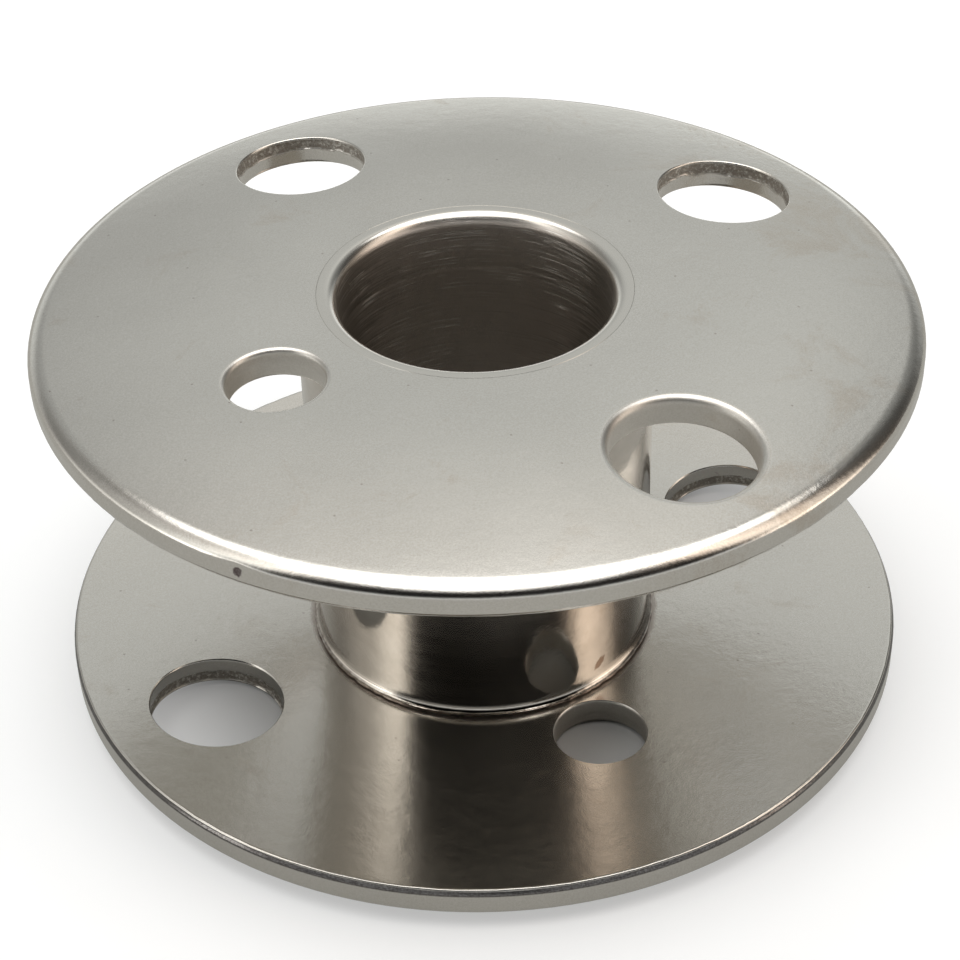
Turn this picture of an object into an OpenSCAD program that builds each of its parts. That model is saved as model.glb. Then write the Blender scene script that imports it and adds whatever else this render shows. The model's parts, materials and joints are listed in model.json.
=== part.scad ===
// Sewing-machine bobbin: a steel core tube rolled over two punched, slightly domed flanges,
// which it clamps against the ends of a hub sleeve. Millimetres.
// +Z runs along the spindle axis, from the lower flange to the upper flange. The origin is on the
// axis, in the plane the lower rolled lip and the lower flange's seat rest on.

/* [Overall] */
// Height over both flange seats, measured at the hub
overall_h = 10.2; // [9:0.1:12]
// Diameter of both flanges
flange_d = 20.6; // [20:0.1:24]

/* [Flanges] */
// Thickness of the flange sheet
flange_t = 0.7; // [0.65:0.05:1]
// How far the hub seat of a flange stands out beyond its rim
dome_rise = 0.48; // [0:0.02:0.7]
// Diameter of the flat seat round the hub, where the dome begins
seat_d = 8.8; // [8.7:0.1:9.4]
// Radius of the wide roll where the upper flange's outer face bends into its rim
rim_roll = 0.65; // [0.2:0.05:0.8]
// Radius of the tighter bend below that roll
rim_corner = 0.26; // [0.06:0.02:0.3]
// Radius of the squarer outer edge of the lower flange
lower_rim = 0.12; // [0.04:0.02:0.3]
// Width of the bevel on the inner edge of both rims
bevel_w = 0.07; // [0.02:0.01:0.12]
// Height of that bevel
bevel_h = 0.12; // [0.04:0.01:0.16]

/* [Punched holes] */
// Diameter of each large hole
large_hole_d = 3.2; // [2.6:0.02:3.4]
// Distance from the axis to the centre of a large hole
large_hole_pos = 7.5; // [7.2:0.05:7.8]
// Diameter of the small hole beside the hub
small_hole_d = 2.2; // [1.6:0.02:2.3]
// Distance from the axis to the centre of the small hole
small_hole_pos = 5.6; // [5.6:0.05:6]
// Depth of the rounded edge a hole has on the flange's outer face
hole_roll = 0.12; // [0.04:0.02:0.16]
// Angle of the hole pattern of the upper flange, seen from above
upper_angle = 35; // [0:0.5:359]
// Angle of the hole pattern of the lower flange, seen from above
lower_angle = 119; // [0:0.5:359]
// Angle by which the small hole of the upper flange is off the pattern
upper_small_offset = 3; // [-8:1:8]

/* [Core tube] */
// Diameter of the bore the winder and the hook's post go into
bore_d = 6.4; // [6:0.1:6.8]
// Wall of the core tube
core_wall = 0.36; // [0.3:0.01:0.44]
// Radius of the rolled lip where the bore opens
lip_r = 0.3; // [0.15:0.05:0.35]
// How far the rolled lip reaches out beyond the tube
flare_w = 0.1; // [0.1:0.02:0.3]
// Depth of the rolled lip in the flange
flare_depth = 0.3; // [0.2:0.05:0.5]

/* [Hub sleeve] */
// Diameter of the hub that carries the thread
hub_d = 8.3; // [8.2:0.1:8.5]
// Height of the flared foot on the lower flange
foot_h = 0.36; // [0.2:0.02:0.6]
// How far the foot flares out beyond the hub
foot_w = 0.14; // [0.06:0.02:0.2]

/* [Hidden] */
$fn = 96;
nickel_face = [0.72, 0.71, 0.68];
nickel_hub = [0.66, 0.64, 0.60];
nickel_bore = [0.50, 0.47, 0.43];
arc_steps = 8;
dome_steps = 12;
rim_bend = 42;
slack = 0.01;
foot_edge = 0.1;
cut_margin = 2;
flange_r = flange_d / 2;
seat_r = seat_d / 2;
bore_r = bore_d / 2;
core_r = bore_r + core_wall;
flare_r = core_r + flare_w;
hub_r = hub_d / 2;
sleeve_h = overall_h - 2 * flange_t;
large_hole_angles = [0, 90, 270];

// Height of a flange's outer face at radius r, measured down from its seat.
function drop(r) = r <= seat_r ? 0 : -dome_rise * pow((r - seat_r) / (flange_r - seat_r), 2);

// Slope of that face at radius r, in degrees below the horizontal.
function slope(r) = atan(2 * dome_rise * (r - seat_r) / pow(flange_r - seat_r, 2));

// Radius of step i on the way from the seat to the radius end.
function dome_r(i, end) = seat_r + (end - seat_r) * i / dome_steps;

// Points on an arc of radius r that starts at p and bends down from angle a to angle b.
function bend(p, r, a, b) = [for (i = [1:arc_steps])
  let (t = a + (b - a) * i / arc_steps)
  [p[0] + r * (sin(t) - sin(a)), p[1] - r * (cos(a) - cos(t))]
];

// Half of the flange's cross-section. Its outer face looks up and its seat is at z = 0.
module flange_section(roll, corner) {
  start = slope(flange_r);
  width = roll * (sin(rim_bend) - sin(start)) + corner * (1 - sin(rim_bend));
  rim_r = flange_r - width;
  outer = [for (i = [0:dome_steps]) [dome_r(i, rim_r), drop(dome_r(i, rim_r))]];
  wide = bend([rim_r, drop(rim_r)], roll, start, rim_bend);
  tight = bend(wide[arc_steps - 1], corner, rim_bend, 90);
  bevel_r = flange_r - bevel_w;
  inner = [for (i = [dome_steps:-1:0]) [dome_r(i, bevel_r), drop(dome_r(i, bevel_r)) - flange_t]];
  bevel = [[flange_r, drop(bevel_r) - flange_t + bevel_h]];
  centre = [
    [core_r + slack, -flange_t],
    [core_r + slack, -flare_depth],
    [flare_r + slack, 0]
  ];
  polygon(concat(outer, wide, tight, bevel, inner, centre));
}

// Tool that punches one hole square to the sheet, with a rounded edge on the outer face.
module hole_tool(pos, d) {
  translate([pos, 0, drop(pos)])
    rotate([0, slope(pos), 0]) {
      translate([0, 0, -flange_t - cut_margin])
        cylinder(d = d, h = flange_t + 2 * cut_margin);
      translate([0, 0, -hole_roll])
        cylinder(d1 = d, d2 = d + 4 * hole_roll, h = 2 * hole_roll);
    }
}

// One flange with its three large holes and one small hole.
module flange(small_offset, roll, corner) {
  difference() {
    rotate_extrude() flange_section(roll, corner);
    for (a = large_hole_angles)
      rotate([0, 0, a]) hole_tool(large_hole_pos, large_hole_d);
    rotate([0, 0, 180 + small_offset]) hole_tool(small_hole_pos, small_hole_d);
  }
}

// Upper flange, its outer face up.
module upper_flange() {
  color(nickel_face)
    translate([0, 0, overall_h])
      rotate([0, 0, upper_angle])
        flange(upper_small_offset, rim_roll, rim_corner);
}

// Lower flange: the same punching turned over, its outer face down and its outer edge squarer.
module lower_flange() {
  color(nickel_face)
    rotate([0, 0, lower_angle])
      rotate([180, 0, 0])
        flange(0, lower_rim, lower_rim);
}

// Hub sleeve: the spacer between the flanges, with a flared foot on the lower one.
module hub_sleeve() {
  foot = [for (i = [0:arc_steps]) [
    hub_r + foot_w * (1 - cos(90 * i / arc_steps)),
    foot_h - (foot_h - foot_edge) * sin(90 * i / arc_steps)
  ]];
  color(nickel_hub)
    translate([0, 0, flange_t])
      rotate_extrude()
        polygon(concat(
          [[core_r + slack, 0], [core_r + slack, sleeve_h], [hub_r, sleeve_h]],
          foot,
          [[hub_r + foot_w, 0]]
        ));
}

// Core tube: runs through everything, and both its ends are rolled over the flanges.
module core_tube() {
  top_lip = [for (i = [0:arc_steps]) [
    bore_r + lip_r * (1 - cos(90 * i / arc_steps)),
    overall_h - lip_r + lip_r * sin(90 * i / arc_steps)
  ]];
  low_lip = [for (i = [arc_steps:-1:0]) [
    bore_r + lip_r * (1 - cos(90 * i / arc_steps)),
    lip_r - lip_r * sin(90 * i / arc_steps)
  ]];
  color(nickel_bore)
    rotate_extrude()
      polygon(concat(
        top_lip,
        [[flare_r, overall_h], [core_r, overall_h - flare_depth], [core_r, flare_depth], [flare_r, 0]],
        low_lip
      ));
}

upper_flange();
lower_flange();
hub_sleeve();
core_tube();
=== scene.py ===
import json
import math

import bmesh
import bpy
from mathutils import Matrix, Vector, noise


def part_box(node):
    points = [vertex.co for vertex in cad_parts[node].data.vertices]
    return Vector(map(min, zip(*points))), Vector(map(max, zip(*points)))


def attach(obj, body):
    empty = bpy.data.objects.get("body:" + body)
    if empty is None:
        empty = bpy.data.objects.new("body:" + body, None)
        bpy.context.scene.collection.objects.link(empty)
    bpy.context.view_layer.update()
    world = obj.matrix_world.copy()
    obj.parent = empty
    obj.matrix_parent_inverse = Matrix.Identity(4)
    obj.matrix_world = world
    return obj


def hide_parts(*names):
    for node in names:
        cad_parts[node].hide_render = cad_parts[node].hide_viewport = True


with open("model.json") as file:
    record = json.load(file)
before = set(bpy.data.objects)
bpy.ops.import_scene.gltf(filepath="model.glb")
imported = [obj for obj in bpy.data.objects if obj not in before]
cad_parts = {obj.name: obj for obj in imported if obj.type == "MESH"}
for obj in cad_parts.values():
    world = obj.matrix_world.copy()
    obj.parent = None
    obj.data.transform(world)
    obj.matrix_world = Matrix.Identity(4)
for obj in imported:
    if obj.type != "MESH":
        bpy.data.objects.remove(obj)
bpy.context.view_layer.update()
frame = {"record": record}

MM = 0.001

# ---------------------------------------------------------------- sizes, in millimetres


def box_mm(node):
    """The lowest and highest corner of a CAD node's box, in millimetres."""
    lo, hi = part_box(node)
    return lo / MM, hi / MM


upper_lo, upper_hi = box_mm("upper_flange")
sleeve_lo, sleeve_hi = box_mm("hub_sleeve")
_, core_hi = box_mm("core_tube")
bore_mount = next(m for m in frame["record"]["mounts"] if m["name"] == "bore")

OVERALL_H = upper_hi.z
FLANGE_R = min(upper_hi.x, upper_hi.y, -upper_lo.x, -upper_lo.y)
FLANGE_T = sleeve_lo.z
BORE_R = bore_mount["dims"]["r_mm"]
FLARE_R = core_hi.x
FOOT_R = sleeve_hi.x
SEAT_R = 4.4
CORE_WALL = 0.36
CORE_R = BORE_R + CORE_WALL
HUB_R = 4.15
LIP_R = 0.3
FLARE_DEPTH = 0.3
FOOT_H = 0.36
FOOT_EDGE = 0.1
SLACK = 0.01
# The ring-shaped gap that shows between the lip and the flange is finer than that slack.
LIP_GAP = SLACK * 0.4
LIP_SEAM = 0.007
# The upper flange's edge bends in a wide roll and then a tighter one; the lower one's is squarer.
UPPER_RIM, LOWER_RIM = (0.65, 0.26), (0.12, 0.12)
RIM_BEND = math.radians(42)
BEVEL_W, BEVEL_H = 0.07, 0.12
BEVEL_R = FLANGE_R - BEVEL_W
DOME_RISE = (OVERALL_H - FLANGE_T - upper_lo.z) * ((FLANGE_R - SEAT_R) / (BEVEL_R - SEAT_R)) ** 2

# Radius of each kind of hole, its distance from the axis and half the width of its patch of mesh.
LARGE_R, LARGE_POS, LARGE_PATCH = 1.6, 7.5, 2.05
SMALL_R, SMALL_POS, SMALL_PATCH = 1.1, 5.6, 1.42
UPPER_ANGLE, UPPER_SMALL_OFFSET = 35.0, 3.0
LOWER_ANGLE = 119.0


def drop(r):
    """Height of a flange's outer face at radius r, down from its seat."""
    if r <= SEAT_R:
        return 0.0
    return -DOME_RISE * ((r - SEAT_R) / (FLANGE_R - SEAT_R)) ** 2


def slope(r):
    """How far that face falls per millimetre at radius r."""
    return max(0.0, 2 * DOME_RISE * (r - SEAT_R) / (FLANGE_R - SEAT_R) ** 2)


def wobble(p, scale, seed):
    """Smooth noise between about -1 and 1 at point p, in millimetres."""
    return noise.noise(Vector(p) * scale + Vector((seed * 17.3, seed * 5.1, seed * 9.7)))


# ---------------------------------------------------------------- mesh helpers


def make_piece(name, verts, faces, material, node, sharp, wear=None):
    """A mesh object from points in millimetres, smooth but for edges sharper than an angle."""
    mesh = bpy.data.meshes.new(name)
    mesh.from_pydata([Vector(v) * MM for v in verts], [], faces)
    if wear:
        layer = mesh.attributes.new("wear", "FLOAT", "POINT")
        for index, value in wear.items():
            layer.data[index].value = value
    bm = bmesh.new()
    bm.from_mesh(mesh)
    bmesh.ops.recalc_face_normals(bm, faces=bm.faces)
    bm.to_mesh(mesh)
    bm.free()
    mesh.shade_smooth()
    mesh.set_sharp_from_angle(angle=math.radians(sharp))
    mesh.materials.append(material)
    obj = bpy.data.objects.new(name, mesh)
    bpy.context.scene.collection.objects.link(obj)
    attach(obj, "root")
    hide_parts(node)
    return obj


def stitch(faces, a, b):
    """Quads between two closed loops of vertex numbers."""
    n = len(a)
    for i in range(n):
        j = (i + 1) % n
        faces.append((a[i], a[j], b[j], b[i]))


def revolve(profile, steps, shift=None):
    """Closed ring of quads from a closed (r, z) outline. shift(r, z, angle) may move a point."""
    verts, faces, loops = [], [], []
    for r, z in profile:
        loop = []
        for i in range(steps):
            a = 2 * math.pi * i / steps
            rr, zz = shift(r, z, a) if shift else (r, z)
            loop.append(len(verts))
            verts.append((rr * math.cos(a), rr * math.sin(a), zz))
        loops.append(loop)
    for a, b in zip(loops, loops[1:] + loops[:1]):
        stitch(faces, a, b)
    return verts, faces


def arc(cx, cz, radius, start, end, steps):
    """Points on a circular arc in the (r, z) plane, angles in degrees."""
    out = []
    for i in range(steps + 1):
        a = math.radians(start + (end - start) * i / steps)
        out.append((cx + radius * math.cos(a), cz + radius * math.sin(a)))
    return out


# ---------------------------------------------------------------- flanges


class Hole:
    """One punched hole of a flange: where it is and what its edges are like."""

    def __init__(self, angle, pos, radius, patch, roll, rough, dull):
        self.angle = math.radians(angle)
        self.pos, self.radius, self.patch = pos, radius, patch
        self.roll, self.rough, self.dull = roll, rough, dull
        self.half = patch / pos

    def centre(self, depth):
        """The hole runs square to the domed sheet, so its centre moves with depth."""
        p = self.pos - depth * slope(self.pos)
        return p * math.cos(self.angle), p * math.sin(self.angle)


# Mesh steps: over a hole's patch, between patches, inside and outside them, rings in a patch.
N_HOLE, N_GAP, N_IN, N_OUT, N_RING = 30, 26, 7, 8, 9
# How much closer together the rings get towards the hole.
RING_EASE = 1.5


def sheet(verts, faces, holes, r_in, r_out, depth, grow):
    """One face of a flange as quads, at a depth below its outer face, with its round holes.

    Returns the inner loop, the outer loop and one loop round each hole."""
    height = lambda r: drop(r) - depth
    columns = []
    count = len(holes)
    for h, hole in enumerate(holes):
        after = holes[(h + 1) % count]
        turn = 2 * math.pi if h == count - 1 else 0.0
        radii = column_radii(hole, r_in, r_out)
        for i in range(N_HOLE):
            a = hole.angle - hole.half + 2 * hole.half * i / N_HOLE
            columns.append((a, radii, h if i else None))
        start, end = hole.angle + hole.half, after.angle - after.half + turn
        radii_after = column_radii(after, r_in, r_out)
        for i in range(N_GAP):
            f = i / N_GAP
            s = f * f * (3 - 2 * f)
            mixed = [(1 - s) * p + s * q for p, q in zip(radii, radii_after)]
            columns.append((start + (end - start) * f, mixed, None))
    rows = N_IN + N_HOLE + N_OUT + 1
    grid = []
    for a, radii, inside in columns:
        column = []
        for k in range(rows):
            if inside is not None and N_IN < k < N_IN + N_HOLE:
                column.append(None)
                continue
            r = radii[k]
            column.append(len(verts))
            verts.append((r * math.cos(a), r * math.sin(a), height(r)))
        grid.append(column)
    total = len(grid)
    for i in range(total):
        a, b = grid[i], grid[(i + 1) % total]
        hole_column = i % (N_HOLE + N_GAP) < N_HOLE
        for k in range(rows - 1):
            if hole_column and N_IN <= k < N_IN + N_HOLE:
                continue
            faces.append((a[k], b[k], b[k + 1], a[k + 1]))
    hole_loops = []
    for h, hole in enumerate(holes):
        i0 = h * (N_HOLE + N_GAP)
        lo, hi = N_IN, N_IN + N_HOLE
        around = [(i0 + i, lo) for i in range(N_HOLE)]
        around += [(i0 + N_HOLE, lo + k) for k in range(N_HOLE)]
        around += [(i0 + N_HOLE - i, hi) for i in range(N_HOLE)]
        around += [(i0, hi - k) for k in range(N_HOLE)]
        outside = [grid[i % total][k] for i, k in around]
        cx, cy = hole.centre(depth)
        edge_r = hole.radius + grow(hole)
        before = outside
        corners = [verts[v] for v in outside]
        loop = []
        for ring in range(1, N_RING + 1):
            f = 1 - (1 - ring / N_RING) ** RING_EASE
            loop = []
            for x, y, _ in corners:
                d = math.hypot(x - cx, y - cy)
                tx, ty = cx + (x - cx) * edge_r / d, cy + (y - cy) * edge_r / d
                px, py = x + (tx - x) * f, y + (ty - y) * f
                loop.append(len(verts))
                verts.append((px, py, height(math.hypot(px, py))))
            stitch(faces, before, loop)
            before = loop
        hole_loops.append(loop)
    inner = [column[0] for column in grid]
    outer = [column[-1] for column in grid]
    return inner, outer, hole_loops


def column_radii(hole, r_in, r_out):
    """Radii of a column of points that passes through a hole's patch."""
    lo, hi = hole.pos - hole.patch, hole.pos + hole.patch
    radii = [r_in + (lo - r_in) * k / N_IN for k in range(N_IN)]
    radii += [lo + (hi - lo) * k / N_HOLE for k in range(N_HOLE)]
    radii += [hi + (r_out - hi) * k / N_OUT for k in range(N_OUT + 1)]
    return radii


ROLL_STEPS, WALL_STEPS = 6, 16
# The torn band of a hole's wall: how far down it ends, as a part of the sheet, and how unevenly.
TORN_END, TORN_WAVE = 0.47, 0.06
# Where the wall meets the inner face: how wide and how high its small bevel is.
WALL_BEVEL, WALL_BEVEL_H = 0.008, 0.02
# The sheared edge: radius of its burr, and how deep its roughness is.
BURR_R, RIM_ROUGH = 0.045, 0.016
ROLL_ARC_STEPS, CORNER_ARC_STEPS = 12, 9
# How far in from the bevel's foot the inner face ends.
FACE_INSET = 0.05
# A small dent in the upper rim, to the left of the front.
NICK_ANGLE, NICK_SIZE, NICK_DEPTH = -118.7, 0.12, 0.06
NICK_AT = (FLANGE_R * math.cos(math.radians(NICK_ANGLE)),
           FLANGE_R * math.sin(math.radians(NICK_ANGLE)), OVERALL_H - 0.85)


def hole_wall(verts, faces, wear, hole, top, bottom, seed):
    """The punched wall: an edge rolled by the punch, a torn band, then a smooth band."""
    before = top
    n = len(top)
    directions = []
    cx, cy = hole.centre(0)
    for v in top:
        x, y, _ = verts[v]
        d = math.hypot(x - cx, y - cy)
        directions.append(((x - cx) / d, (y - cy) / d))

    def torn_edge(dx, dy):
        return FLANGE_T * TORN_END + TORN_WAVE * wobble((dx * 5, dy * 5, 0), 1.0, seed)

    def ring(radius, depth, jitter):
        nonlocal before
        loop = []
        mx, my = hole.centre(depth)
        for i in range(n):
            dx, dy = directions[i]
            r = radius + (jitter(dx, dy, depth) if jitter else 0.0)
            x, y = mx + dx * r, my + dy * r
            if depth > hole.roll:
                edge = torn_edge(dx, dy)
                wear[len(verts)] = hole.dull + (1 - hole.dull) * hole.rough * (depth < edge)
            else:
                wear[len(verts)] = hole.dull * (0.4 + 0.6 * depth / hole.roll)
            loop.append(len(verts))
            verts.append((x, y, drop(math.hypot(x, y)) - depth))
        stitch(faces, before, loop)
        before = loop

    for i in range(1, ROLL_STEPS + 1):
        a = math.radians(90 * i / ROLL_STEPS)
        ring(hole.radius + hole.roll * (1 - math.sin(a)), hole.roll * (1 - math.cos(a)), None)

    def torn(dx, dy, depth):
        f = 1.0 if depth < torn_edge(dx, dy) else 0.0
        fine = wobble((dx * 9, dy * 9, depth * 9), 1.7, seed + 1)
        coarse = wobble((dx * 4, dy * 4, depth * 3), 1.3, seed + 2)
        return f * hole.rough * (0.03 + 0.03 * fine + 0.025 * coarse)

    for i in range(1, WALL_STEPS + 1):
        depth = hole.roll + (FLANGE_T - 2.5 * WALL_BEVEL_H - hole.roll) * i / WALL_STEPS
        ring(hole.radius, depth, torn)
    ring(hole.radius + WALL_BEVEL, FLANGE_T - WALL_BEVEL_H, None)
    stitch(faces, before, bottom)


def rim_width(roll, corner):
    """How far in from the edge the outer face starts to bend."""
    bend = math.sin(RIM_BEND)
    return roll * (bend - math.sin(math.atan(slope(FLANGE_R)))) + corner * (1 - bend)


def bend(p, radius, start, end, steps):
    """Points on an arc that starts at p and bends down from one slope to another."""
    out = []
    for i in range(1, steps + 1):
        t = start + (end - start) * i / steps
        out.append((p[0] + radius * (math.sin(t) - math.sin(start)),
                    p[1] - radius * (math.cos(start) - math.cos(t))))
    return out


def rim(verts, faces, outer, inner, edge, nick, seed):
    """The edge of the flange: rolled on the outer face, bevelled and a little rough inside."""
    angles = [math.atan2(verts[v][1], verts[v][0]) for v in outer]
    before = outer
    roll, corner = edge
    start_r = FLANGE_R - rim_width(roll, corner)
    start_slope = math.atan(slope(FLANGE_R))
    profile = bend((start_r, drop(start_r)), roll, start_slope, RIM_BEND, ROLL_ARC_STEPS)
    profile += bend(profile[-1], corner, RIM_BEND, math.pi / 2, CORNER_ARC_STEPS)
    roll_low = profile[-1][1]
    low = drop(BEVEL_R) - FLANGE_T
    bevel_top = low + BEVEL_H
    profile += [(FLANGE_R, roll_low + (bevel_top - roll_low) * i / 4) for i in range(1, 4)]
    bevel_r = FLANGE_R - 0.004
    profile += [(FLANGE_R, bevel_top + 0.02), (bevel_r, bevel_top)]
    bevel_run, bevel_fall = BEVEL_W - 0.034, BEVEL_H - BURR_R
    profile += [
        (bevel_r - bevel_run * i / 5, bevel_top - bevel_fall * i / 5) for i in range(1, 6)
    ]
    burr_r, burr_low = profile[-1][0], low + 0.002
    profile += [
        (burr_r - BURR_R * (1 - c), burr_low + (BURR_R - 0.002) * (1 - s))
        for c, s in arc(0, 0, 1, 0, 80, 5)[1:]
    ]
    for r, z in profile:
        wear_and_painted_light = max(0.0, min(1.0, (bevel_top - z) / BEVEL_H))
        loop = []
        for a in angles:
            x, y = math.cos(a), math.sin(a)
            rough = wobble((x * 40, y * 40, z * 6), 1.0, seed)
            rough += 0.6 * wobble((x * 95, y * 95, z), 1.0, seed)
            inward = RIM_ROUGH * wear_and_painted_light * (0.6 + rough)
            if nick is not None:
                away = math.atan2(math.sin(a - nick), math.cos(a - nick)) * FLANGE_R / NICK_SIZE
                up = (z - roll_low) / NICK_SIZE
                inward += NICK_DEPTH * math.exp(-away * away - up * up)
            loop.append(len(verts))
            verts.append(((r - inward) * x, (r - inward) * y, z))
        stitch(faces, before, loop)
        before = loop
    stitch(faces, before, inner)


def flange(name, node, holes, edge, nick, turn, seed, material):
    """One whole flange: its outer and inner faces, its rim, the holes' walls and its centre."""
    verts, faces, wear = [], [], {}
    out_in, out_rim, out_holes = sheet(
        verts, faces, holes, FLARE_R + LIP_GAP, FLANGE_R - rim_width(*edge), 0.0, lambda h: h.roll
    )
    in_in, in_rim, in_holes = sheet(
        verts, faces, holes, CORE_R + SLACK, BEVEL_R - FACE_INSET, FLANGE_T, lambda h: 0.03
    )
    rim(verts, faces, out_rim, in_rim, edge, nick, seed)
    for i, hole in enumerate(holes):
        hole_wall(verts, faces, wear, hole, out_holes[i], in_holes[i], seed + 3 * i)
    before = out_in
    for r, z in ((CORE_R + SLACK, -FLARE_DEPTH), (CORE_R + SLACK, -FLANGE_T * 0.7)):
        loop = []
        for v in out_in:
            a = math.atan2(verts[v][1], verts[v][0])
            loop.append(len(verts))
            verts.append((r * math.cos(a), r * math.sin(a), z))
        stitch(faces, before, loop)
        before = loop
    stitch(faces, before, in_in)
    verts = [turn @ Vector(v) for v in verts]
    return make_piece(name, verts, faces, material, node, 40, wear)


# ---------------------------------------------------------------- materials


class Nodes:
    """Short calls for building one node tree."""

    def __init__(self, tree):
        self.tree = tree
        tree.nodes.clear()

    def add(self, kind, **values):
        node = self.tree.nodes.new(kind)
        for key, value in values.items():
            setattr(node, key, value)
        return node

    def link(self, value, socket):
        if isinstance(value, (int, float)):
            socket.default_value = value
        elif isinstance(value, tuple):
            socket.default_value = (*value[:3], 1.0)
        else:
            self.tree.links.new(value, socket)

    def math(self, op, a, b=0.0, clamp=False):
        node = self.add("ShaderNodeMath", operation=op, use_clamp=clamp)
        self.link(a, node.inputs[0])
        self.link(b, node.inputs[1])
        return node.outputs[0]

    def ramp(self, value, low, high, to_low=0.0, to_high=1.0, smooth=True):
        node = self.add(
            "ShaderNodeMapRange", interpolation_type="SMOOTHSTEP" if smooth else "LINEAR"
        )
        for socket, v in zip(node.inputs, (value, low, high, to_low, to_high)):
            self.link(v, socket)
        return node.outputs[0]

    def mix(self, factor, a, b):
        node = self.add("ShaderNodeMix", data_type="RGBA")
        self.link(factor, node.inputs[0])
        self.link(a, node.inputs[6])
        self.link(b, node.inputs[7])
        return node.outputs[2]

    def position(self):
        """Object position in millimetres."""
        coords = self.add("ShaderNodeTexCoord")
        scale = self.add("ShaderNodeVectorMath", operation="SCALE")
        self.link(coords.outputs["Object"], scale.inputs[0])
        scale.inputs["Scale"].default_value = 1 / MM
        return scale.outputs[0]

    def stretch(self, vector, x, y, z, shift=(0.0, 0.0, 0.0)):
        node = self.add("ShaderNodeMapping")
        self.link(vector, node.inputs["Vector"])
        node.inputs["Scale"].default_value = (x, y, z)
        node.inputs["Location"].default_value = shift
        return node.outputs[0]

    def noise(self, vector, scale, detail=3.0, rough=0.5, distort=0.0):
        node = self.add("ShaderNodeTexNoise")
        self.link(vector, node.inputs["Vector"])
        node.inputs["Scale"].default_value = scale
        node.inputs["Detail"].default_value = detail
        node.inputs["Roughness"].default_value = rough
        node.inputs["Distortion"].default_value = distort
        return node.outputs["Fac"]

    def bump(self, height, distance_mm, strength=1.0, normal=None):
        node = self.add("ShaderNodeBump")
        node.inputs["Strength"].default_value = strength
        node.inputs["Distance"].default_value = distance_mm * MM
        self.link(height, node.inputs["Height"])
        if normal is not None:
            self.link(normal, node.inputs["Normal"])
        return node.outputs[0]

    def parts(self, vector):
        node = self.add("ShaderNodeSeparateXYZ")
        self.link(vector, node.inputs[0])
        return node.outputs

    def radius(self, parts):
        """Distance from the spindle axis."""
        flat = self.math("ADD", self.math("MULTIPLY", parts[0], parts[0]),
                         self.math("MULTIPLY", parts[1], parts[1]))
        return self.math("SQRT", flat)

    def specks(self, parts, scale, size_mm):
        """Small dots scattered over a nearly level face, differently on each flange."""
        flat = self.add("ShaderNodeCombineXYZ")
        self.link(self.math("ADD", parts[0], parts[2]), flat.inputs[0])
        self.link(self.math("ADD", parts[1], self.math("MULTIPLY", parts[2], 0.6)), flat.inputs[1])
        cells = self.add("ShaderNodeTexVoronoi", voronoi_dimensions="2D")
        self.link(flat.outputs[0], cells.inputs["Vector"])
        cells.inputs["Scale"].default_value = scale
        edge = size_mm * scale
        return self.ramp(cells.outputs["Distance"], edge * 0.5, edge * 1.3, 1.0, 0.0)

    def mark(self, vector, place, size, tilt):
        """One oval mark round a place, ragged at its edge. Sizes in millimetres, tilt about Y."""
        node = self.add("ShaderNodeMapping", vector_type="TEXTURE")
        self.link(vector, node.inputs["Vector"])
        node.inputs["Location"].default_value = place
        node.inputs["Rotation"].default_value = (0.0, math.radians(tilt), 0.0)
        node.inputs["Scale"].default_value = size
        length = self.add("ShaderNodeVectorMath", operation="LENGTH")
        self.link(node.outputs[0], length.inputs[0])
        ragged = self.math("ADD", length.outputs["Value"], self.noise(vector, 9.0, 3.0, 0.7))
        return self.ramp(ragged, 1.2, 1.6, 1.0, 0.0)

    def metal(self, color, roughness, normal):
        shader = self.add("ShaderNodeBsdfPrincipled")
        shader.inputs["Metallic"].default_value = 1.0
        self.link(color, shader.inputs["Base Color"])
        self.link(roughness, shader.inputs["Roughness"])
        self.link(normal, shader.inputs["Normal"])
        out = self.add("ShaderNodeOutputMaterial")
        self.tree.links.new(shader.outputs[0], out.inputs[0])


NICKEL = (0.60, 0.578, 0.54)
NICKEL_PALE = (0.64, 0.618, 0.58)
STAIN = (0.46, 0.39, 0.31)
SPECK = (0.30, 0.25, 0.22)
TORN = (0.26, 0.225, 0.19)
RUST = (0.22, 0.13, 0.08)
# Painted shade: a dark spot in the upper rim's small dent, darker than the dent's own shading.
NICK_PAINTED_SHADE = (0.10, 0.07, 0.07)
# Painted shade under the burr of the lower rim, a dark band in place of the dark reflection there:
# its lower and upper edge, in millimetres of height.
RIM_SHADE_LOW, RIM_SHADE_HIGH = (0.99, 1.03), (1.125, 1.15)
# The colour of that painted shade.
RIM_SHADE_DARK = (0.035, 0.028, 0.03)
HUB_METAL, HUB_METAL_PALE = (0.57, 0.53, 0.48), (0.66, 0.62, 0.57)
SCRATCH = (0.92, 0.90, 0.86)
BORE_METAL, BORE_METAL_PALE = (0.42, 0.39, 0.35), (0.76, 0.70, 0.65)
# A small rust-brown mark on the hub, low on the right of its front.
RUST_AT, RUST_SIZE, RUST_TILT = (2.78, -3.08, 1.33), (0.105, 0.4, 0.2), 38.0


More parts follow.
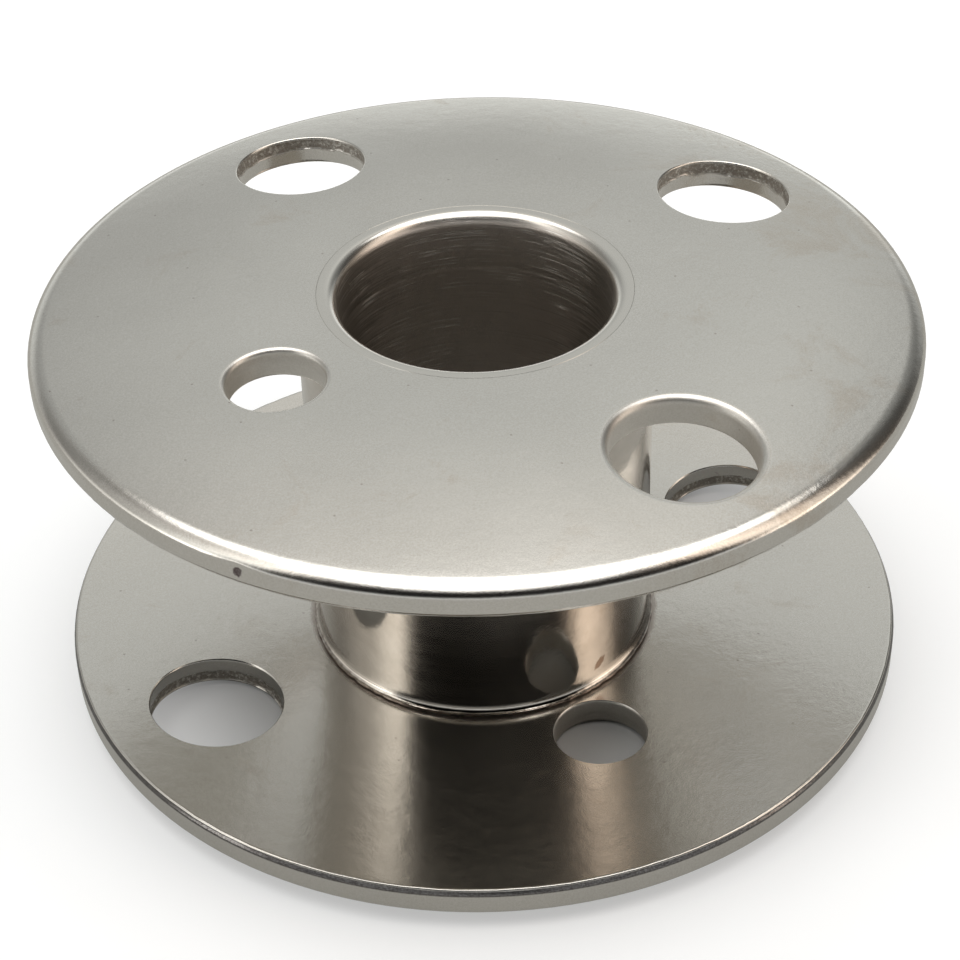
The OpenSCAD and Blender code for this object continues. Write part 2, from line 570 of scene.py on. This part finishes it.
def flange_material():
    """Satin nickel: faint stains and specks, grime at the foot, torn and dull hole walls, and
    painted shade in the upper rim's dent and under the lower rim's burr.
    """
    mat = bpy.data.materials.new("satin_nickel")
    mat.use_nodes = True
    n = Nodes(mat.node_tree)
    p = n.position()
    parts = n.parts(p)
    broad = n.noise(p, 0.16, 3.0, 0.55)
    cloud = n.noise(p, 0.45, 6.0, 0.68, 0.6)
    color = n.mix(n.ramp(broad, 0.35, 0.7), NICKEL, NICKEL_PALE)
    handled = n.math("MULTIPLY", n.ramp(parts[0], 2.0, 8.5), n.ramp(parts[2], 5.0, 9.0))
    stain = n.ramp(n.math("ADD", cloud, n.math("MULTIPLY", handled, 0.13)), 0.58, 0.76)
    color = n.mix(n.math("MULTIPLY", stain, 0.42), color, STAIN)
    radius = n.radius(parts)
    specks = n.math("MULTIPLY", n.specks(parts, 0.42, 0.03), n.ramp(radius, 9.9, 10.1, 0.55, 0.0))
    color = n.mix(specks, color, SPECK)
    corner = n.math("ADD", radius, n.math("MULTIPLY", n.noise(p, 4.0, 4.0, 0.7), -0.22))
    grime = n.math("MULTIPLY", n.ramp(corner, FOOT_R - 0.08, FOOT_R + 0.03, 1.0, 0.0),
                   n.ramp(parts[2], FLANGE_T - 0.1, FLANGE_T + 0.3, 0.8, 0.0))
    color = n.mix(grime, color, SPECK)
    # Painted shade: darkens the small dent in the upper rim.
    color = n.mix(n.mark(p, NICK_AT, (NICK_SIZE,) * 3, 0.0), color, NICK_PAINTED_SHADE)
    # Painted shade: a dark band under the lower rim's burr, standing in for the dark reflection
    # there.
    line = n.math("MULTIPLY", n.ramp(parts[2], *RIM_SHADE_LOW, 0.0, 0.9),
                  n.ramp(parts[2], *RIM_SHADE_HIGH, 1.0, 0.0))
    line = n.math("MULTIPLY", line, n.ramp(radius, FLANGE_R - 0.06, FLANGE_R - 0.045))
    color = n.mix(line, color, RIM_SHADE_DARK)
    wear = n.add("ShaderNodeAttribute", attribute_name="wear").outputs["Fac"]
    sparkle = n.noise(p, 11.0, 3.0, 0.7)
    torn = n.mix(n.ramp(sparkle, 0.5, 0.62), TORN, NICKEL_PALE)
    color = n.mix(n.ramp(wear, 0.5, 1.0, 0.0, 0.85), color, torn)
    rough = n.ramp(broad, 0.3, 0.7, 0.17, 0.21)
    rough = n.math("ADD", rough, n.math("MULTIPLY", stain, 0.05))
    rough = n.math("ADD", rough, n.math("MULTIPLY", grime, 0.2))
    rough = n.math("ADD", rough, n.ramp(wear, 0.0, 0.5, 0.0, 0.36))
    peel = n.noise(p, 2.4, 2.0, 0.5)
    wrinkle = n.math("MULTIPLY", n.noise(p, 6.5, 3.0, 0.6), n.ramp(parts[0], 1.0, 8.0, 0.25, 1.0))
    grain = n.noise(p, 24.0, 2.0, 0.6)
    color = n.mix(n.ramp(grain, 0.3, 0.7, 0.0, 0.14), color, (1.0, 1.0, 1.0))
    normal = n.bump(peel, 0.004)
    normal = n.bump(wrinkle, 0.0034, 1.0, normal)
    normal = n.bump(grain, 0.0012, 1.0, normal)
    normal = n.bump(n.math("MULTIPLY", n.ramp(wear, 0.5, 1.0), sparkle), 0.02, 1.0, normal)
    n.metal(color, rough, normal)
    return mat


def hub_material():
    """Glossy nickel, lightly scuffed, with a rust mark and a dirty foot."""
    mat = bpy.data.materials.new("glossy_nickel")
    mat.use_nodes = True
    n = Nodes(mat.node_tree)
    p = n.position()
    cloud = n.noise(p, 0.9, 4.0, 0.6, 0.3)
    color = n.mix(n.ramp(cloud, 0.3, 0.75), HUB_METAL, HUB_METAL_PALE)
    scuffed = n.ramp(n.noise(p, 2.2, 5.0, 0.7), 0.55, 0.72)
    color = n.mix(n.math("MULTIPLY", scuffed, 0.3), color, STAIN)
    color = n.mix(n.math("MULTIPLY", n.mark(p, RUST_AT, RUST_SIZE, RUST_TILT), 0.8), color, RUST)
    edge = n.math("ADD", n.parts(p)[2], n.math("MULTIPLY", n.noise(p, 5.0, 4.0, 0.75), -0.3))
    color = n.mix(n.ramp(edge, FLANGE_T - 0.08, FLANGE_T, 0.85, 0.0), color, SPECK)
    lines = n.noise(n.stretch(p, 0.35, 0.35, 7.0), 1.0, 4.0, 0.65)
    rough = n.math("ADD", n.ramp(lines, 0.3, 0.7, 0.10, 0.13), n.math("MULTIPLY", scuffed, 0.04))
    dents = n.noise(p, 1.5, 3.0, 0.55)
    normal = n.bump(dents, 0.007)
    normal = n.bump(lines, 0.0004, 1.0, normal)
    normal = n.bump(n.noise(p, 14.0, 2.0, 0.6), 0.0008, 1.0, normal)
    n.metal(color, rough, normal)
    return mat


def bore_material():
    """Nickel with turned scratches on the bore's wall, painted light that makes the wall paler
    towards its back, and a polished lip.
    """
    mat = bpy.data.materials.new("turned_nickel")
    mat.use_nodes = True
    n = Nodes(mat.node_tree)
    p = n.position()
    parts = n.parts(p)
    wall = n.ramp(n.radius(parts), BORE_R + 0.02, BORE_R + 0.1, 1.0, 0.0)
    fine = n.noise(n.stretch(p, 0.5, 0.5, 22.0), 1.0, 4.0, 0.7)
    lines = n.noise(n.stretch(p, 0.7, 0.7, 34.0, (3.0, 1.0, 7.0)), 1.0, 2.0, 0.5)
    patch = n.ramp(n.noise(p, 0.7, 3.0, 0.6), 0.42, 0.6)
    scratch = n.math("MULTIPLY", n.ramp(lines, 0.57, 0.68), patch)
    # Painted light: the bore's wall gets paler towards its back (+Y), where it faces the camera
    # and catches the light from the opening.
    wear_and_painted_light = n.ramp(parts[1], 1.0, 3.1, -0.6, 0.75)
    dark = n.mix(n.math("ADD", n.ramp(fine, 0.3, 0.7), wear_and_painted_light, True), BORE_METAL, BORE_METAL_PALE)
    dark = n.mix(scratch, dark, SCRATCH)
    color = n.mix(wall, NICKEL_PALE, dark)
    rough = n.math("ADD", 0.2, n.math("MULTIPLY", wall, 0.21))
    height = n.math("MULTIPLY", wall, n.math("SUBTRACT", fine, n.math("MULTIPLY", scratch, 0.5)))
    normal = n.bump(height, 0.006)
    n.metal(color, rough, normal)
    return mat


# ---------------------------------------------------------------- pieces


def holes_for(small_offset, styles):
    """The pattern's four holes in order of angle. styles gives each one's edge and wall."""
    places = [
        (0.0, LARGE_POS, LARGE_R, LARGE_PATCH),
        (90.0, LARGE_POS, LARGE_R, LARGE_PATCH),
        (180.0 + small_offset, SMALL_POS, SMALL_R, SMALL_PATCH),
        (270.0, LARGE_POS, LARGE_R, LARGE_PATCH),
    ]
    return [Hole(*place, *style) for place, style in zip(places, styles)]


# Depth of the rolled edge, how torn the wall is and how dull the rest of it is.
TORN_EDGE, SOFT_EDGE, SMALL_EDGE = (0.05, 1.0, 0.1), (0.2, 0.1, 0.5), (0.13, 0.3, 0.4)


def upper_flange(material):
    turn = Matrix.Rotation(math.radians(UPPER_ANGLE), 4, "Z")
    turn = Matrix.Translation((0, 0, OVERALL_H)) @ turn
    holes = holes_for(UPPER_SMALL_OFFSET, (TORN_EDGE, TORN_EDGE, SMALL_EDGE, SOFT_EDGE))
    nick = math.radians(NICK_ANGLE - UPPER_ANGLE)
    return flange("flange_upper", "upper_flange", holes, UPPER_RIM, nick, turn, 1, material)


def lower_flange(material):
    over = Matrix.Rotation(math.pi, 4, "X")
    turn = Matrix.Rotation(math.radians(LOWER_ANGLE), 4, "Z") @ over
    holes = holes_for(0.0, (TORN_EDGE, TORN_EDGE, SMALL_EDGE, TORN_EDGE))
    return flange("flange_lower", "lower_flange", holes, LOWER_RIM, None, turn, 40, material)


# How deep the chips in the edge of the hub's foot are.
FOOT_CHIP = 0.07
# Height of a fine turned line in the bore's wall, from either end, and its depth.
BORE_LINE, LINE_DEPTH = 1.43, 0.008


def hub_sleeve(material):
    """The hub, with a flared foot whose lowest edge is chipped all round."""
    top, bottom = OVERALL_H - FLANGE_T, FLANGE_T
    foot_w = FOOT_R - HUB_R
    profile = [(CORE_R + SLACK, bottom), (CORE_R + SLACK, top), (HUB_R, top)]
    body_low = bottom + FOOT_H
    profile += [(HUB_R, top + (body_low - top) * i / 40) for i in range(1, 41)]
    profile += [
        (HUB_R + foot_w * (1 - math.cos(math.radians(a))),
         body_low - (FOOT_H - FOOT_EDGE) * math.sin(math.radians(a)))
        for a in range(8, 91, 8)
    ]
    profile += [(FOOT_R, bottom + 0.07), (FOOT_R, bottom + 0.035), (FOOT_R - 0.05, bottom + 0.012)]
    ragged_h = FOOT_EDGE + 0.02

    def ragged(r, z, a):
        low = 1.0 - min(1.0, max(0.0, (z - bottom) / ragged_h))
        if r < HUB_R or z > bottom + ragged_h:
            return r, z
        chip = wobble((math.cos(a) * 18, math.sin(a) * 18, 0), 1.0, 5)
        return r - FOOT_CHIP * max(0.0, chip) * (0.3 + low), z

    verts, faces = revolve(profile, 288, ragged)
    return make_piece("hub_sleeve_skin", verts, faces, material, "hub_sleeve", 50)


def core_tube(material):
    """The inner tube, with a rolled lip at both ends and two fine lines turned in its bore."""
    top, line, seam = OVERALL_H, BORE_LINE, LIP_SEAM
    profile = arc(BORE_R + LIP_R, top - LIP_R, LIP_R, 180, 90, 14)
    profile += [(FLARE_R - seam, top), (FLARE_R, top - seam), (CORE_R, top - FLARE_DEPTH)]
    profile += [(CORE_R, FLARE_DEPTH), (FLARE_R, seam), (FLARE_R - seam, 0.0)]
    profile += arc(BORE_R + LIP_R, LIP_R, LIP_R, 270, 180, 14)
    profile += [(BORE_R, LIP_R + (line - LIP_R) * i / 6) for i in range(1, 6)]
    walls = [line - 0.04, line, line + 0.04]
    profile += [(BORE_R + (LINE_DEPTH if z == line else 0.0), z) for z in walls]
    profile += [(BORE_R, line + 0.1 + (top - 2 * line - 0.2) * i / 30) for i in range(31)]
    profile += [(BORE_R + (LINE_DEPTH if z == line else 0.0), top - z) for z in reversed(walls)]
    profile += [(BORE_R, top - line + (line - LIP_R) * i / 6) for i in range(1, 6)]
    verts, faces = revolve(profile, 224)
    return make_piece("core_tube_skin", verts, faces, material, "core_tube", 30)


satin = flange_material()
upper_flange(satin)
lower_flange(satin)
hub_sleeve(hub_material())
core_tube(bore_material())


# ---------------------------------------------------------------- floor, light and camera

STUDIO_R = 0.6
FLOOR_DROP = 0.00002
# What the camera sees of the floor, and how much duller it looks reflected in the metal.
FLOOR_COLOR, FLOOR_COLOR_PALE = (0.50, 0.51, 0.52), (0.52, 0.53, 0.54)
FLOOR_LIFT = 0.55
# Where the floor's lift, its glow, begins, in millimetres from the axis: under the bobbin the glow
# fades out, which paints a shadow there on top of its real shade.
SHADE_EDGE = (4.5, 12.6)
FLOOR_IN_METAL = (0.20, 0.20, 0.19)
FLOOR_GLOW_IN_METAL = 0.28

# The room round the bobbin: degrees from the camera towards +X, brightness, tint.
WARM, PALE, PLAIN = (1.0, 0.86, 0.75), (1.0, 0.975, 0.94), (0.99, 1.0, 0.985)
ROUND_THE_ROOM = [
    (-180, 1.0, PLAIN), (-165, 0.92, PLAIN), (-145, 0.70, PLAIN), (-120, 0.45, PALE),
    (-92, 1.0, PALE), (-63, 2.55, PALE), (-52, 0.002, PALE), (58, 0.002, PALE),
    (76, 2.6, WARM), (94, 1.6, WARM), (106, 0.12, WARM), (124, 0.13, PALE),
    (142, 0.42, PLAIN), (163, 1.12, PLAIN), (180, 1.0, PLAIN),
]
# The same by the height of the direction looked in: a bright horizon, then from dim to overhead.
UP_THE_WALL = [
    (-1.0, 0.5, PLAIN), (0.0, 1.1, PLAIN), (0.17, 0.9, PLAIN), (0.32, 0.49, PLAIN),
    (0.62, 0.62, PLAIN), (0.84, 0.76, PALE), (1.0, 0.85, PALE),
]
# The dark gap round the camera fades towards the horizon: between which heights, how bright it
# gets there, and how many degrees to either side that light ends.
GAP_EDGE, GAP_LOW, GAP_SIDES = (0.10, 0.40), 0.65, (62, 90)
# The overhead panel: where its edge is, how much lower it comes down at the sides, its light.
PANEL_EDGE, PANEL_SIDES, SIDE_ARC = (0.85, 0.93), 0.1, (95, 110, 130, 148)
PANEL_LEVEL, PANEL_TINT = 2.5, (1.0, 0.985, 0.955)
BRIGHTEST = 2.6
ROOM_LIGHT = 1.11


def floor():
    """The pale floor the bobbin stands on. From below it can be looked through."""
    mesh = bpy.data.meshes.new("floor")
    bm = bmesh.new()
    bmesh.ops.create_circle(bm, cap_ends=True, segments=96, radius=STUDIO_R)
    bm.to_mesh(mesh)
    bm.free()
    mat = bpy.data.materials.new("pale_floor")
    mat.use_nodes = True
    n = Nodes(mat.node_tree)
    p = n.position()
    path = n.add("ShaderNodeLightPath")
    in_metal = path.outputs["Is Glossy Ray"]
    # Painted shadow: the floor's glow fades out under the bobbin.
    clear_of_bobbin = n.ramp(n.radius(n.parts(p)), *SHADE_EDGE)
    paper = n.add("ShaderNodeBsdfDiffuse")
    pale = n.mix(n.noise(p, 0.05), FLOOR_COLOR, FLOOR_COLOR_PALE)
    n.link(n.mix(in_metal, pale, FLOOR_IN_METAL), paper.inputs[0])
    glow = n.add("ShaderNodeEmission")
    n.link(n.mix(in_metal, (1.0, 1.0, 1.0), (1.0, 1.0, 0.95)), glow.inputs[0])
    lift = n.math("MULTIPLY", path.outputs["Is Camera Ray"], FLOOR_LIFT)
    lift = n.math("ADD", lift, n.math("MULTIPLY", in_metal, FLOOR_GLOW_IN_METAL))
    n.link(n.math("MULTIPLY", lift, clear_of_bobbin), glow.inputs[1])
    both = n.add("ShaderNodeAddShader")
    n.link(paper.outputs[0], both.inputs[0])
    n.link(glow.outputs[0], both.inputs[1])
    clear = n.add("ShaderNodeBsdfTransparent")
    side = n.add("ShaderNodeNewGeometry")
    blend = n.add("ShaderNodeMixShader")
    n.link(side.outputs["Backfacing"], blend.inputs[0])
    n.link(both.outputs[0], blend.inputs[1])
    n.link(clear.outputs[0], blend.inputs[2])
    out = n.add("ShaderNodeOutputMaterial")
    n.link(blend.outputs[0], out.inputs[0])
    mesh.materials.append(mat)
    obj = bpy.data.objects.new("floor", mesh)
    obj.location = (0, 0, -FLOOR_DROP)
    bpy.context.scene.collection.objects.link(obj)


def band(n, value, stops, interpolation="EASE"):
    """A colour looked up along value, between the first and the last stop's place."""
    first, last = stops[0][0], stops[-1][0]
    ramp = n.add("ShaderNodeValToRGB")
    ramp.color_ramp.interpolation = interpolation
    elements = ramp.color_ramp.elements
    while len(elements) < len(stops):
        elements.new(0.5)
    for element, (place, level, tint) in zip(elements, stops):
        element.position = (place - first) / (last - first)
        element.color = [level * c / BRIGHTEST for c in tint] + [1.0]
    n.link(n.ramp(value, first, last, smooth=False), ramp.inputs[0])
    return ramp.outputs[0]


def studio():
    """A pale room with an overhead panel, two side panels and a dark gap where the camera is."""
    world = bpy.data.worlds.new("studio")
    bpy.context.scene.world = world
    world.use_nodes = True
    n = Nodes(world.node_tree)
    direction = n.add("ShaderNodeTexCoord").outputs["Generated"]
    parts = n.add("ShaderNodeSeparateXYZ")
    n.link(direction, parts.inputs[0])
    x, y, z = parts.outputs
    azimuth = n.math("ARCTAN2", x, n.math("MULTIPLY", y, -1.0))
    degrees = n.math("MULTIPLY", azimuth, 180 / math.pi)
    around = band(n, degrees, ROUND_THE_ROOM)
    height = band(n, z, UP_THE_WALL)
    lifted = n.add("ShaderNodeMix", data_type="RGBA", blend_type="LIGHTEN")
    n.link(1.0, lifted.inputs[0])
    n.link(around, lifted.inputs[6])
    turned = n.math("ABSOLUTE", degrees)
    gap = n.ramp(turned, *GAP_SIDES, 1.0, 0.0)
    low = n.ramp(z, *GAP_EDGE, GAP_LOW / BRIGHTEST, 0.0)
    n.link(n.math("MULTIPLY", gap, low), lifted.inputs[7])
    walls = n.add("ShaderNodeMix", data_type="RGBA", blend_type="MULTIPLY")
    n.link(1.0, walls.inputs[0])
    n.link(lifted.outputs[2], walls.inputs[6])
    n.link(height, walls.inputs[7])
    sideways = n.math("MULTIPLY", n.ramp(turned, SIDE_ARC[0], SIDE_ARC[1]),
                      n.ramp(turned, SIDE_ARC[2], SIDE_ARC[3], 1.0, 0.0))
    panel = n.ramp(n.math("ADD", z, n.math("MULTIPLY", sideways, PANEL_SIDES)), *PANEL_EDGE)
    panel_color = tuple(PANEL_LEVEL / BRIGHTEST ** 2 * c for c in PANEL_TINT)
    color = n.mix(panel, walls.outputs[2], panel_color)
    back = n.add("ShaderNodeBackground")
    n.link(color, back.inputs[0])
    back.inputs[1].default_value = ROOM_LIGHT * BRIGHTEST ** 2
    out = n.add("ShaderNodeOutputWorld")
    n.link(back.outputs[0], out.inputs[0])


# The camera: degrees of elevation and roll, its distance from what it looks at, and its lens.
ELEVATION, ROLL, DISTANCE, LENS = 37.383, -1.514, 56.417, 86.551
LOOK_AT = (-0.0036, 0.0, 4.6225)


def camera():
    """A camera in front of the bobbin, looking down at it and tilted a little."""
    elevation, roll = math.radians(ELEVATION), math.radians(ROLL)
    distance = DISTANCE * MM
    look = Vector(LOOK_AT) * MM
    back = Vector((0, -math.cos(elevation), math.sin(elevation)))
    right = Vector((1, 0, 0))
    up = back.cross(right)
    tilted_right = right * math.cos(roll) + up * math.sin(roll)
    tilted_up = up * math.cos(roll) - right * math.sin(roll)
    data = bpy.data.cameras.new("camera")
    data.lens, data.sensor_width = LENS, 36.0
    data.clip_start, data.clip_end = 0.001, 10.0
    obj = bpy.data.objects.new("camera", data)
    bpy.context.scene.collection.objects.link(obj)
    axes = Matrix((tilted_right, tilted_up, back)).transposed()
    obj.matrix_world = Matrix.Translation(look + back * distance) @ axes.to_4x4()
    bpy.context.scene.camera = obj


floor()
studio()
camera()
bpy.context.scene.view_settings.view_transform = "Standard"
